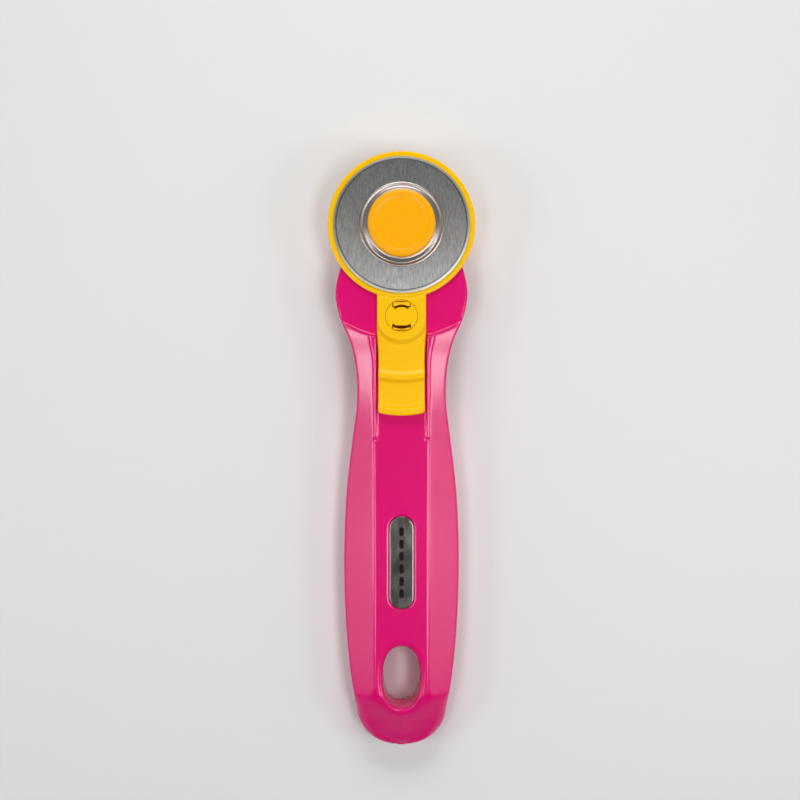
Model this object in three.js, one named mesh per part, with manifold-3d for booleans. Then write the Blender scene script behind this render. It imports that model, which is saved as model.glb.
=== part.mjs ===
// A 45 mm rotary cutter with a straight handle and a sliding blade guard.
// It lies on its back: +Z is towards the blade side, +Y towards the blade end.
// The origin is on the blade's axis, at the outer face of the nut. All sizes are in millimetres.
import * as THREE from "three";
import { mergeVertices } from "three/addons/utils/BufferGeometryUtils.js";
import Module from "manifold-3d";

const wasm = await Module();
wasm.setup();

// Levels along the axle, from the nut's outer face to the top of the hub cap.
const NUT_TOP = 8.95;
const HEAD_BACK = 10;
const HEAD_FRONT = 17;
const GUARD_BACK = 17.1;
const GUARD_FRONT = 18.5;
const BLADE_BACK = 18.8;
const BLADE_FRONT = 19.1;
const CAP_BACK = 20.5;
const CAP_TOP = 24.1;

// The handle.
const NOSE_R = 14;
const STEP_R = 37.8;
const CHANNEL_HALF = 8.3;
const CHANNEL_START = -30;
const CHANNEL_END = -70.8;
const RAIL_TOP = 20.5;
const GRIP_FRONT = 17;
const GRIP_BACK = 0;
const GRIP_SEAM = 8.6;
const HEAD_SEAM = 13.5;
const RAMP_START = -66;
const RAMP_END = -47;
const TAIL_START = -160.5;
const TAIL_HALF = 15.1;
const TAIL_LENGTH = 13.1;
const TAIL_BEND = -155.5;
const TAIL_FALL = 0.46;
const WALL = 2.4;
const CAVITY_FROM = -68;
const CAVITY_TO = -160;

// The hang hole and the badge.
const HOLE_Y = -149.6;
const HOLE_HALF_X = 6.2;
const HOLE_HALF_Y = 10.3;
const HOLE_POWER = 2.3;
const BADGE_Y = -111.4;
const BADGE_WIDTH = 8;
const BADGE_LENGTH = 30.5;
const BADGE_DEPTH = 0.8;

// The guard and its thumb strip.
const GUARD_R = 24.3;
const TRAVEL = 8;
const PLUG_Y = -30.1;
const PLUG_R = 5.2;
const PAD_R = 7.9;
const PAD_TOP = 19.9;
const STRIP_TOP = 18.9;
const STRIP_END = -61.9;
const STRIP_SAG = 0.95;
const NECK_HALF = 3;
const NECK_REACH = 4.5;

// The parts on the axle.
const BLADE_R = 22.5;
const BEVEL = 1.15;
const SHOULDER_R = 3.95;
const SHOULDER_FLAT = 3.3;
const THREAD_R = 3;
const FLANGE_R = 8;
const SLEEVE_R = 5.2;
const RING_R = 14;
const CAP_R = 11.1;
const KNOB_R = 10.4;
const KNOB_RIBS = 24;
const INSERT_R = 5;

// The screws: two in the head, three along the grip.
const SCREWS = [
  { x: -14.5, y: -27, seat: 12, tip: 15.3 },
  { x: 14.5, y: -27, seat: 12, tip: 15.3 },
  { x: 0, y: -76, seat: 3, tip: 14 },
  { x: 0, y: -103, seat: 3, tip: 14.2 },
  { x: 0, y: -131.5, seat: 3, tip: 14.2 },
];
const SCREW_HEAD_R = 2.7;
const SCREW_HEAD_DEEP = 1.7;
const SCREW_R = 1.25;

const PINK = { color: 0xd8127a, roughness: 0.25, metalness: 0 };
const YELLOW = { color: 0xffbe08, roughness: 0.35, metalness: 0 };
const ORANGE = { color: 0xffac04, roughness: 0.35, metalness: 0 };
const STEEL = { color: 0x9c9c9a, roughness: 0.35, metalness: 1 };
const POLISHED = { color: 0xd0d0d0, roughness: 0.12, metalness: 1 };
const BRASS = { color: 0xc8a24a, roughness: 0.35, metalness: 1 };

const group = new THREE.Group();

// ---- closed meshes and booleans

function signedVolume(position, index) {
  const a = new THREE.Vector3();
  const b = new THREE.Vector3();
  const c = new THREE.Vector3();
  let sum = 0;
  for (let i = 0; i < index.length; i += 3) {
    a.fromBufferAttribute(position, index[i]);
    b.fromBufferAttribute(position, index[i + 1]);
    c.fromBufferAttribute(position, index[i + 2]);
    sum += a.dot(b.cross(c)) / 6;
  }
  return sum;
}

// Welds a geometry into one closed, outward-facing mesh without collapsed triangles.
function weld(geometry) {
  geometry.deleteAttribute("normal");
  geometry.deleteAttribute("uv");
  const welded = mergeVertices(geometry, 1e-4);
  const all = welded.index.array;
  let index = [];
  for (let i = 0; i < all.length; i += 3) {
    const [a, b, c] = [all[i], all[i + 1], all[i + 2]];
    if (a !== b && b !== c && c !== a) index.push(a, b, c);
  }
  if (signedVolume(welded.attributes.position, index) < 0) index = index.reverse();
  welded.setIndex(index);
  return welded;
}

function solid(geometry) {
  const welded = weld(geometry);
  const vertProperties = Float32Array.from(welded.attributes.position.array);
  const triVerts = Uint32Array.from(welded.index.array);
  return new wasm.Manifold(new wasm.Mesh({ numProp: 3, vertProperties, triVerts }));
}

function join(...pieces) {
  return pieces.reduce((sum, piece) => sum.add(piece));
}

function cut(piece, ...tools) {
  return tools.reduce((rest, tool) => rest.subtract(tool), piece);
}

function addPart(name, piece, look) {
  const result = piece.getMesh();
  const geometry = new THREE.BufferGeometry();
  const position = new THREE.BufferAttribute(Float32Array.from(result.vertProperties), 3);
  geometry.setAttribute("position", position);
  geometry.setIndex(new THREE.BufferAttribute(Uint32Array.from(result.triVerts), 1));
  geometry.computeVertexNormals();
  const mesh = new THREE.Mesh(geometry, new THREE.MeshStandardMaterial(look));
  mesh.name = name;
  group.add(mesh);
}

// ---- simple shapes

// A round solid about the Z axis through (x, y), from a closed profile of [radius, z] points.
function turned(profile, segments = 32, x = 0, y = 0) {
  const points = profile.map(([r, z]) => new THREE.Vector2(r, z));
  const geometry = new THREE.LatheGeometry(points, segments);
  geometry.rotateX(Math.PI / 2);
  geometry.translate(x, y, 0);
  return solid(geometry);
}

function cylinder(r, z0, z1, segments = 32, x = 0, y = 0) {
  return turned([[0, z0], [r, z0], [r, z1], [0, z1]], segments, x, y);
}

function box(x0, x1, y0, y1, z0, z1) {
  const geometry = new THREE.BoxGeometry(x1 - x0, y1 - y0, z1 - z0);
  geometry.translate((x0 + x1) / 2, (y0 + y1) / 2, (z0 + z1) / 2);
  return solid(geometry);
}

// A flat slab with the outline of a shape, between two levels.
function slab(shape, z0, z1, steps = 12) {
  const settings = { depth: z1 - z0, bevelEnabled: false, curveSegments: steps };
  const geometry = new THREE.ExtrudeGeometry(shape, settings);
  geometry.translate(0, 0, z0);
  return solid(geometry);
}

// A prism across the object, from a side outline of [y, z] points.
function sidePrism(outline, half) {
  const shape = new THREE.Shape(outline.map(([y, z]) => new THREE.Vector2(y, z)));
  const settings = { depth: 2 * half, bevelEnabled: false };
  const geometry = new THREE.ExtrudeGeometry(shape, settings);
  // The shape's x becomes Y, its y becomes Z and the depth runs along X.
  geometry.applyMatrix4(new THREE.Matrix4().set(0, 0, 1, -half, 1, 0, 0, 0, 0, 1, 0, 0, 0, 0, 0, 1));
  return solid(geometry);
}

// A round-ended slot along Y, between the centres of its two ends.
function slotShape(half, y0, y1) {
  const shape = new THREE.Shape();
  shape.absarc(0, y1, half, 0, Math.PI, false);
  shape.absarc(0, y0, half, Math.PI, 2 * Math.PI, false);
  return shape;
}

// An oval a little fuller than an ellipse.
function ovalShape(halfX, halfY, y, count = 40) {
  const points = [];
  for (let i = 0; i < count; i += 1) {
    const angle = (i / count) * 2 * Math.PI;
    const [c, s] = [Math.cos(angle), Math.sin(angle)];
    const x = Math.sign(c) * Math.pow(Math.abs(c), 2 / HOLE_POWER);
    const up = Math.sign(s) * Math.pow(Math.abs(s), 2 / HOLE_POWER);
    points.push(new THREE.Vector2(halfX * x, y + halfY * up));
  }
  return new THREE.Shape(points);
}

// ---- the handle's form

function ease(t) {
  const s = THREE.MathUtils.clamp(t, 0, 1);
  return s * s * (3 - 2 * s);
}

// Reads a smooth curve, given as [y, value] knots in order of falling y.
function curveThrough(knots) {
  const spline = new THREE.SplineCurve(knots.map(([y, v]) => new THREE.Vector2(y, v)));
  const points = spline.getPoints(240);
  return (y) => {
    const i = points.findIndex((p) => p.x <= y);
    if (i === 0) return points[0].y;
    if (i < 0) return points[points.length - 1].y;
    const t = (points[i - 1].x - y) / (points[i - 1].x - points[i].x);
    return THREE.MathUtils.lerp(points[i - 1].y, points[i].y, t);
  };
}

const bodyHalf = curveThrough([
  [2, 13.9], [-5, 16.2], [-13.1, 19.9], [-23.1, 21.8], [-31.1, 20.2], [-37.7, 17.3], [-47.6, 15.1],
  [-58, 14.8], [-71.1, 16.4], [-84.5, 18], [-111.2, 19.2], [-131.5, 18.6], [-148, 17.1], [-160.5, 15.1],
]);

// The outer edge of the rails, which runs on as the edge of the grip's flat band.
const railHalf = curveThrough([[-30, 11.6], [-37, 10.6], [-43, 9.5], [-56, 9.3], [-72, 9.15], [-158.3, 8.9]]);

// How steeply the sides fall away from the band's edge.
const sideSlope = curveThrough([[-37, 0.42], [-52, 0.46], [-70, 0.53], [-110, 0.52], [-158, 0.57]]);

// The front face: the rails' sloping top, then the level grip, then the tail falling away.
function frontLevel(y) {
  const rail = THREE.MathUtils.mapLinear(y, -38, CHANNEL_END, RAIL_TOP, HEAD_FRONT);
  if (y > CHANNEL_END) return Math.min(RAIL_TOP, rail);
  const past = Math.max(0, TAIL_BEND - y);
  return GRIP_FRONT - (TAIL_FALL * past * past) / (past + 3);
}

// The level that the sloping side would reach at the outer edge. Beside the blade it stays just above
// the flat head.
function cornerLevel(y) {
  const level = frontLevel(y) - sideSlope(y) * (bodyHalf(y) - railHalf(y));
  return y > -40 ? Math.max(level, HEAD_FRONT + 0.1) : level;
}

function headShare(y) {
  return ease((y - RAMP_START) / (RAMP_END - RAMP_START));
}

// One station of the handle: its half width, levels and flat widths.
function station(y) {
  const share = headShare(y);
  return {
    y,
    half: bodyHalf(y),
    front: frontLevel(y),
    back: GRIP_BACK + share * HEAD_BACK,
    seam: GRIP_SEAM + share * (HEAD_SEAM - GRIP_SEAM),
    rail: railHalf(y),
    corner: cornerLevel(y),
    backFlat: THREE.MathUtils.lerp(8.7, bodyHalf(y) - 3, share),
  };
}

// The rounded tail: everything shrinks towards the end of the seam.
function tailStation(angle) {
  const base = station(TAIL_START);
  const shrink = Math.pow(Math.cos(angle), 2 / 2.3);
  const thin = Math.pow(Math.cos(angle), 0.55);
  const y = TAIL_START - TAIL_LENGTH * Math.sin(angle);
  const fall = base.front - frontLevel(y);
  return {
    y,
    half: TAIL_HALF * shrink,
    front: base.seam + (base.front - fall - base.seam) * thin,
    back: base.seam + (base.back - base.seam) * thin,
    seam: base.seam,
    rail: base.rail * shrink,
    corner: base.seam + Math.max(1, base.corner - fall - base.seam) * thin,
    backFlat: base.backFlat * shrink,
  };
}

// The front of the section: the band's edge, the sloping side, a rounded corner, and a wall down to
// the seam.
function frontQuarter(s) {
  const run = s.half - s.rail;
  const cornerRun = Math.min(1.3, run * 0.3);
  const inner = s.corner + ((s.front - s.corner) * cornerRun) / run;
  const drop = Math.min(1.4, (s.corner - s.seam) * 0.6);
  return [
    [s.rail, s.front],
    [s.half - cornerRun, inner],
    [s.half - cornerRun * 0.3, THREE.MathUtils.lerp(s.corner, inner, 0.3) - drop * 0.3],
    [s.half, s.corner - drop],
    [s.half, s.seam],
  ];
}

// The back of the section, from the flat's edge out to the seam.
function backQuarter(flat, level, half, seam, steps) {
  const points = [];
  for (let i = 0; i <= steps; i += 1) {
    const angle = (i / steps) * (Math.PI / 2);
    const out = Math.pow(Math.sin(angle), 0.92);
    const up = Math.pow(Math.cos(angle), 0.92);
    points.push([flat + (half - flat) * out, seam + (level - seam) * up]);
  }
  return points;
}

function sectionRing(s, steps) {
  const front = frontQuarter(s);
  const back = backQuarter(s.backFlat, s.back, s.half, s.seam, steps).reverse().slice(1);
  const right = [...front, ...back];
  const left = right.map(([x, z]) => [-x, z]).reverse();
  return [...right, ...left].map(([x, z]) => [x, s.y, z]);
}

// A closed skin through rings of equal length, with flat ends.
function loft(rings) {
  const count = rings[0].length;
  const last = (rings.length - 1) * count;
  const index = [];
  for (let r = 0; r + 1 < rings.length; r += 1) {
    for (let i = 0; i < count; i += 1) {
      const j = (i + 1) % count;
      const [a, b, c, d] = [r * count + i, r * count + j, (r + 1) * count + i, (r + 1) * count + j];
      index.push(a, c, b, b, c, d);
    }
  }
  for (let i = 1; i + 1 < count; i += 1) {
    index.push(0, i, i + 1);
    index.push(last, last + i + 1, last + i);
  }
  const geometry = new THREE.BufferGeometry();
  geometry.setAttribute("position", new THREE.Float32BufferAttribute(rings.flat(2), 3));
  geometry.setIndex(index);
  return solid(geometry);
}

function outerBody() {
  const stations = [];
  for (let y = 2; y > -76; y -= 4.6) stations.push(station(y));
  for (let y = -76; y > TAIL_START + 2; y -= 8.4) stations.push(station(y));
  for (let i = 0; i < 7; i += 1) stations.push(tailStation((i / 7) * (Math.PI / 2)));
  stations.push(tailStation(1.53));
  return loft(stations.map((s) => sectionRing(s, 5)));
}

function innerBody() {
  const stations = [];
  for (let y = CAVITY_FROM; y >= CAVITY_TO; y -= 9.2) {
    const s = station(y);
    const half = s.half - WALL;
    stations.push({
      ...s,
      half,
      front: s.front - WALL,
      back: s.back + WALL,
      rail: s.rail - 1,
      corner: s.corner - WALL * 0.55,
      backFlat: s.backFlat - 1,
    });
  }
  return loft(stations.map((s) => sectionRing(s, 3)));
}

// Everything on the nut's side of the seam between the two shells.
function backSide() {
  return sidePrism(
    [
      [20, -5], [20, HEAD_SEAM], [RAMP_END, HEAD_SEAM],
      [RAMP_START, GRIP_SEAM], [-180, GRIP_SEAM], [-180, -5],
    ],
    30,
  );
}

function nose() {
  const edge = 1.2;
  return turned(
    [
      [0, HEAD_BACK], [NOSE_R - edge, HEAD_BACK], [NOSE_R, HEAD_BACK + edge],
      [NOSE_R, HEAD_FRONT - 0.6], [NOSE_R - 0.6, HEAD_FRONT], [0, HEAD_FRONT],
    ],
    36,
  );
}

function screwHoles() {
  const tools = SCREWS.map(({ x, y, seat, tip }) => {
    const head = cylinder(SCREW_HEAD_R + 0.2, -1, seat, 14, x, y);
    return join(head, cylinder(SCREW_R + 0.09, seat - 0.5, tip + 0.3, 12, x, y));
  });
  return join(...tools);
}

function cavity() {
  const posts = SCREWS.map(({ x, y }) => cylinder(4.2, -1, 20, 12, x, y));
  const holeWall = slab(ovalShape(HOLE_HALF_X + WALL, HOLE_HALF_Y + WALL, HOLE_Y, 24), -1, 20);
  return cut(innerBody(), holeWall, ...posts);
}

function handleBlank() {
  const body = join(outerBody(), nose());
  const headCut = cylinder(STEP_R, HEAD_FRONT, 25, 60);
  const channel = box(-CHANNEL_HALF, CHANNEL_HALF, CHANNEL_END - 4, CHANNEL_START, HEAD_FRONT, 25);
  const notch = box(-3, 3, CHANNEL_END - 0.6, CHANNEL_END + 0.2, HEAD_FRONT - 0.5, 25);
  const bore = cylinder(SLEEVE_R + 0.05, 0, 20);
  const buttonSlot = slab(
    slotShape(NECK_HALF + 0.25, PLUG_Y - TRAVEL - NECK_REACH + 2.9, PLUG_Y + NECK_REACH - 2.9), 0, 20,
  );
  const hangHole = slab(ovalShape(HOLE_HALF_X, HOLE_HALF_Y, HOLE_Y), -1, 20);
  const badgeEnd = (BADGE_LENGTH - BADGE_WIDTH) / 2;
  const badge = slab(
    slotShape(BADGE_WIDTH / 2 + 0.1, BADGE_Y - badgeEnd, BADGE_Y + badgeEnd), GRIP_FRONT - BADGE_DEPTH, 20,
  );
  return cut(body, headCut, channel, notch, bore, buttonSlot, hangHole, badge, cavity(), screwHoles());
}

function addHandle() {
  const blank = handleBlank();
  const behind = backSide();
  addPart("handle_front_shell", blank.subtract(behind), PINK);
  addPart("handle_back_shell", blank.intersect(behind), PINK);
}

function addScrews() {
  SCREWS.forEach(({ x, y, seat, tip }, i) => {
    const top = seat - 0.05;
    const low = top - SCREW_HEAD_DEEP;
    const body = turned(
      [
        [0, low], [SCREW_HEAD_R * 0.75, low], [SCREW_HEAD_R, low + 0.6], [SCREW_HEAD_R, top],
        [SCREW_R, top], [SCREW_R, tip - 0.8], [0.4, tip], [0, tip],
      ],
      12, x, y,
    );
    const slots = join(
      box(x - 1.5, x + 1.5, y - 0.3, y + 0.3, low - 1, low + 0.9),
      box(x - 0.3, x + 0.3, y - 1.5, y + 1.5, low - 1, low + 0.9),
    );
    addPart(`shell_screw_${i + 1}`, cut(body, slots), STEEL);
  });
}

function addBadge() {
  const end = (BADGE_LENGTH - BADGE_WIDTH) / 2;
  const low = GRIP_FRONT - BADGE_DEPTH + 0.03;
  const plate = slab(slotShape(BADGE_WIDTH / 2, BADGE_Y - end, BADGE_Y + end), low, GRIP_FRONT + 0.15);
  addPart("badge_plate", plate, POLISHED);
}

// ---- the guard

// The strip seen from the front: a little wider at the disc, with a bowed end.
function stripOutline() {
  const shape = new THREE.Shape();
  shape.moveTo(-8.05, -15);
  shape.lineTo(-8, -38);
  shape.lineTo(-7.7, -44);
  shape.lineTo(-7.7, STRIP_END);
  shape.quadraticCurveTo(0, STRIP_END - 2 * STRIP_SAG, 7.7, STRIP_END);
  shape.lineTo(7.7, -44);
  shape.lineTo(8, -38);
  shape.lineTo(8.05, -15);
  return shape;
}

// The strip seen from the side: lower level, one finger ridge and a rib at the end.
function stripSide() {
  return [
    [-15, GUARD_BACK], [-15, GUARD_FRONT], [-23.4, GUARD_FRONT], [-24.4, STRIP_TOP],
    [-46.2, STRIP_TOP], [-49.2, STRIP_TOP + 1.1], [-50.2, STRIP_TOP + 1.2], [-51.4, STRIP_TOP - 0.2],
    [-58.2, STRIP_TOP - 0.2], [-59.4, STRIP_TOP + 1.1], [-60.6, STRIP_TOP + 1.4], [-62.2, STRIP_TOP + 0.9],
    [-63, STRIP_TOP], [-63, GUARD_BACK],
  ];
}

function addGuard() {
  const disc = turned(
    [
      [0, GUARD_BACK], [GUARD_R - 0.3, GUARD_BACK], [GUARD_R, GUARD_BACK + 0.3],
      [GUARD_R, GUARD_FRONT - 0.4], [GUARD_R - 0.4, GUARD_FRONT], [0, GUARD_FRONT],
    ],
    64,
  );
  const strip = sidePrism(stripSide(), 10).intersect(slab(stripOutline(), 10, 25, 12));
  const padArea = slab(slotShape(PAD_R, PLUG_Y, PLUG_Y + 4), GUARD_BACK, PAD_TOP, 16);
  const pad = padArea.intersect(box(-9, 9, -45, -24.2, 10, 25));
  const plugHole = cylinder(PLUG_R + 0.1, 10, 25, 32, 0, PLUG_Y);
  const axleSlot = slab(slotShape(FLANGE_R + 0.3, 0, TRAVEL), 10, 25, 16);
  addPart("blade_guard", cut(join(disc, strip, pad), plugHole, axleSlot), YELLOW);
}

function addRearButton() {
  const plug = cylinder(PLUG_R, GUARD_BACK, PAD_TOP - 0.1, 32, 0, PLUG_Y);
  const reach = NECK_REACH - 2.9;
  const neckShape = slotShape(NECK_HALF, PLUG_Y - reach, PLUG_Y + reach);
  const neck = slab(neckShape, HEAD_BACK - 1, GUARD_BACK + 0.5);
  const settings = { depth: 1.6, bevelThickness: 0.6, bevelSize: 0.6, bevelSegments: 2, curveSegments: 10 };
  const padGeometry = new THREE.ExtrudeGeometry(slotShape(5.6, PLUG_Y - 2, PLUG_Y + 2), settings);
  padGeometry.translate(0, 0, HEAD_BACK - 0.7 - 1.6);
  const slits = join(
    box(-2.6, 2.6, PLUG_Y + 3.4, PLUG_Y + 3.8, PAD_TOP - 0.9, 25),
    box(-2.6, 2.6, PLUG_Y - 3.8, PLUG_Y - 3.4, PAD_TOP - 0.9, 25),
  );
  const grooves = [-4, 0, 4].map((dy) =>
    box(-7, 7, PLUG_Y + dy - 0.5, PLUG_Y + dy + 0.5, 0, HEAD_BACK - 2.5),
  );
  addPart("guard_rear_button", cut(join(plug, neck, solid(padGeometry)), slits, ...grooves), YELLOW);
}

// ---- the parts on the axle

function addBlade() {
  const middle = (BLADE_BACK + BLADE_FRONT) / 2;
  const blade = turned(
    [
      [4.02, BLADE_BACK], [BLADE_R - BEVEL, BLADE_BACK], [BLADE_R, middle - 0.02],
      [BLADE_R, middle + 0.02], [BLADE_R - BEVEL, BLADE_FRONT], [4.02, BLADE_FRONT], [4.02, BLADE_BACK],
    ],
    64,
  );
  addPart("rotary_blade", blade, STEEL);
}

function addClampWasher() {
  const low = BLADE_FRONT + 0.05;
  const ring = turned(
    [
      [4.05, low], [RING_R - 0.3, low], [RING_R, low + 0.2], [RING_R - 0.3, low + 0.5],
      [11.4, low + 0.9], [10.9, low + 1.2], [4.05, low + 1.2], [4.05, low],
    ],
    48,
  );
  addPart("clamp_washer", ring, POLISHED);
}

function addHubCap() {
  const cap = turned(
    [
      [0, CAP_BACK + 1.05], [9, CAP_BACK + 1.05], [9, CAP_BACK], [CAP_R - 0.2, CAP_BACK],
      [CAP_R, CAP_BACK + 0.2], [CAP_R, CAP_TOP - 1], [CAP_R - 0.3, CAP_TOP - 0.3],
      [CAP_R - 1, CAP_TOP], [CAP_R - 1.9, CAP_TOP], [CAP_R - 2.6, CAP_TOP - 0.3],
      [0, CAP_TOP - 0.3],
    ],
    40,
  );
  addPart("hub_cap", cap, ORANGE);
}

function addBolt() {
  const body = turned(
    [
      [0, 2.4], [THREAD_R - 0.5, 2.4], [THREAD_R, 2.9], [THREAD_R, HEAD_BACK], [SHOULDER_R, HEAD_BACK],
      [SHOULDER_R, CAP_BACK - 0.05], [8.9, CAP_BACK - 0.05], [8.9, CAP_BACK + 0.95], [0, CAP_BACK + 0.95],
    ],
    32,
  );
  const flats = [-1, 1].map((side) => {
    const near = side * SHOULDER_FLAT;
    const far = side * 6;
    return box(Math.min(near, far), Math.max(near, far), -6, 6, HEAD_BACK - 0.5, BLADE_BACK - 0.02);
  });
  addPart("axle_bolt", cut(body, ...flats), STEEL);
}

function addBush() {
  const top = BLADE_BACK - 0.06;
  const flangeLow = HEAD_FRONT + 0.04;
  const body = turned(
    [
      [0, HEAD_BACK + 0.1], [SLEEVE_R, HEAD_BACK + 0.1], [SLEEVE_R, flangeLow],
      [FLANGE_R, flangeLow], [FLANGE_R, top - 0.2], [FLANGE_R - 0.2, top], [0, top],
    ],
    32,
  );
  const flat = SHOULDER_FLAT + 0.05;
  const bore = cylinder(SHOULDER_R + 0.06, 0, 25).intersect(box(-flat, flat, -6, 6, 0, 25));
  addPart("axle_bush", cut(body, bore), BRASS);
}

// A washer bent into three waves.
function addSpringWasher() {
  const count = 48;
  const corners = [[3.3, -0.17], [8.6, -0.17], [8.6, 0.17], [3.3, 0.17]];
  const position = [];
  const index = [];
  for (let i = 0; i < count; i += 1) {
    const angle = (i / count) * 2 * Math.PI;
    const wave = 0.26 * Math.cos(3 * angle);
    for (const [r, z] of corners) {
      position.push(r * Math.cos(angle), r * Math.sin(angle), (NUT_TOP + HEAD_BACK) / 2 + z + wave);
    }
    for (let k = 0; k < 4; k += 1) {
      const [a, b] = [i * 4 + k, i * 4 + ((k + 1) % 4)];
      const [c, d] = [((i + 1) % count) * 4 + k, ((i + 1) % count) * 4 + ((k + 1) % 4)];
      index.push(a, b, c, b, d, c);
    }
  }
  const geometry = new THREE.BufferGeometry();
  geometry.setAttribute("position", new THREE.Float32BufferAttribute(position, 3));
  geometry.setIndex(index);
  addPart("spring_washer", solid(geometry), STEEL);
}

function addNut() {
  const points = [];
  const count = KNOB_RIBS * 4;
  for (let i = 0; i < count; i += 1) {
    const angle = (i / count) * 2 * Math.PI;
    const r = KNOB_R - 0.7 + 0.3 * Math.cos(KNOB_RIBS * angle);
    points.push(new THREE.Vector2(r * Math.cos(angle), r * Math.sin(angle)));
  }
  const edge = 0.7;
  const settings = { depth: NUT_TOP - 2 * edge, bevelThickness: edge, bevelSize: edge, bevelSegments: 1 };
  const geometry = new THREE.ExtrudeGeometry(new THREE.Shape(points), settings);
  geometry.translate(0, 0, edge);
  const pocket = cylinder(INSERT_R + 0.06, 1.9, 12, 6);
  addPart("nut_knob", cut(solid(geometry), pocket), YELLOW);
  const insert = cut(cylinder(INSERT_R, 2, 8.4, 6), cylinder(THREAD_R + 0.08, 0, 12));
  addPart("nut_insert", insert, BRASS);
}

addHandle();
addScrews();
addBadge();
addGuard();
addRearButton();
addBlade();
addClampWasher();
addHubCap();
addBolt();
addBush();
addSpringWasher();
addNut();

export default group;
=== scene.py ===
"""A 45 mm rotary cutter with a glossy pink handle and a yellow sliding blade guard.

The cutter lies on its back on a pale floor: +Z towards the blade side, +Y towards the blade end, and
the origin on the blade's axis at the nut's outer face. Shapes are worked out in millimetres and
turned into metres when a mesh is made. Moulded parts are signed distance fields that are meshed with
surface nets; turned parts are profiles swung round the axle.
"""

import itertools
import math

import bmesh
import bpy
import numpy as np
from mathutils import Matrix, Vector


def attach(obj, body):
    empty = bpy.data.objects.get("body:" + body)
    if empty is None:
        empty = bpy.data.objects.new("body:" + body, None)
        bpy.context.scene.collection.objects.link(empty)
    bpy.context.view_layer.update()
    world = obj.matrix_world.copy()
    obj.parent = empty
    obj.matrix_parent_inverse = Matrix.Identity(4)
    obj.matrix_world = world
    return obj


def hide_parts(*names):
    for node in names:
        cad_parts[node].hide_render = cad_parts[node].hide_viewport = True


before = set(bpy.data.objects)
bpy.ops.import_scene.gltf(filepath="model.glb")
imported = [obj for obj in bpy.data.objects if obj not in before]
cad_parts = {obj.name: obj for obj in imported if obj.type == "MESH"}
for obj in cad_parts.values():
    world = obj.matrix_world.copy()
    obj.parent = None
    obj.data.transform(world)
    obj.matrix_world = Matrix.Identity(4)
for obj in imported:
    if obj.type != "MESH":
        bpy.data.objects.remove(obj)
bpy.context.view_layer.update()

MM = 0.001

# Levels along the axle
NUT_TOP = 8.95
HEAD_BACK = 10.0
HEAD_FRONT = 17.0
GUARD_BACK = 17.1
GUARD_FRONT = 18.5
BLADE_BACK = 18.8
BLADE_FRONT = 19.1
CAP_BACK = 20.5
CAP_TOP = 24.1

# Handle: the head, the channel between the rails, the grip and the tail
NOSE_R = 14.0
EAR_TOP = 2.0
EAR_BLEND = 4.0
HEAD_ROUND = 1.6
STEP_R = 37.8
CHANNEL_HALF = 8.3
CHANNEL_START = -30.0
CHANNEL_END = -70.8
RAIL_START = -37.0
RAIL_TOP = 20.5
RAIL_LIMIT = RAIL_TOP + 0.6
GRIP_FRONT = 17.0
GRIP_SEAM = 8.6
HEAD_SEAM = 13.5
RAMP_START = -66.0
RAMP_END = -47.0
BACK_FLAT = 8.7
WALL_POWER = 2.17
TAIL_START = -160.5
TAIL_LENGTH = 13.1
TAIL_BEND = -155.5
TAIL_FALL = 0.46
TAIL_POWER = 2.3
TAIL_THINNING = 0.55
TAIL_STOP = 0.9985
TAIL_FLATNESS = 0.75
SEAM_GAP = 0.012
HOLE = dict(y=-149.6, half_x=6.2, half_y=10.3, power=2.3, rim=1.9)
BADGE = dict(y=-111.4, width=8.0, length=30.5, low=16.23, top=GRIP_FRONT + 0.15)
STITCH = dict(count=6, spacing=4.1, length=3.0, width=1.5, points=20)

# Edge roundings of the handle: of the band and of the outer wall, and what the tail adds to each
BAND_ROUND, BAND_ROUND_TAIL = 0.28, 5
WALL_ROUND, WALL_ROUND_TAIL = 0.55, 3

# Changes that come in as y falls: (y where it starts, length)
EARS_END = (-33.5, 2.5)
CHANNEL_SHALLOW = (-62, 6)
TAIL_SOFTENS = (-153, 12)
TAIL_FLATTENS = (-158, 13)

# Half widths and levels along the handle, as (y, value) knots in order of falling y
BODY_HALF = [
    (14, 12.0), (2, 13.9), (-5, 16.2), (-13.1, 19.9), (-23.1, 21.8), (-31.1, 20.2), (-37.7, 17.3),
    (-47.6, 15.1), (-58, 14.8), (-71.1, 16.4), (-84.5, 18.0), (-111.2, 19.2), (-131.5, 18.6),
    (-148, 17.1), (-160.5, 15.1),
]
RAIL_HALF = [(-30, 11.6), (-37, 10.6), (-43, 9.5), (-56, 9.3), (-72, 9.15), (-158.3, 8.9)]
SIDE_SLOPE = [(-37, 0.42), (-52, 0.46), (-70, 0.53), (-110, 0.52), (-158, 0.57)]

# The handle's mesh, and where it is finer: (from, to, share of the step) along the band's edges, and at
# the step below the blade and the channel's end
HANDLE_STEP = 0.435
EDGE_ZONE = [(7.9, 9.9, 0.5)]
STEP_ZONE = [(-38.6, -31.5, 0.65), (-71.8, -69.4, 0.65)]

# Guard and its thumb strip, with the plug that holds it and its pad behind the handle
GUARD_R = 24.3
GUARD_STEP = 0.24
TRAVEL = 8.0
PLUG_Y = -30.1
PLUG_R = 5.2
PAD_R = 7.9
PAD_TOP = 19.9
PAD_SLOPE = 1.3
PLUG_TOP = PAD_TOP - 0.1
PLUG_STEP = 0.13
NECK_REACH = 1.6
NECK_HALF = 3.0
STRIP_LOW = 18.85
STRIP_START = -15.0
STRIP_END = -61.9
STRIP_SAG = 0.95
STRIP_SAG_HALF = 7.7
STRIP_HALF = 8.05

# Steps of the strip's level: (y where it starts, length, rise)
STRIP_STEPS = [(-46.6, 2.5, 0.75), (-49.9, 1.4, -1.0), (-58.4, 1.6, 1.35)]

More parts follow.
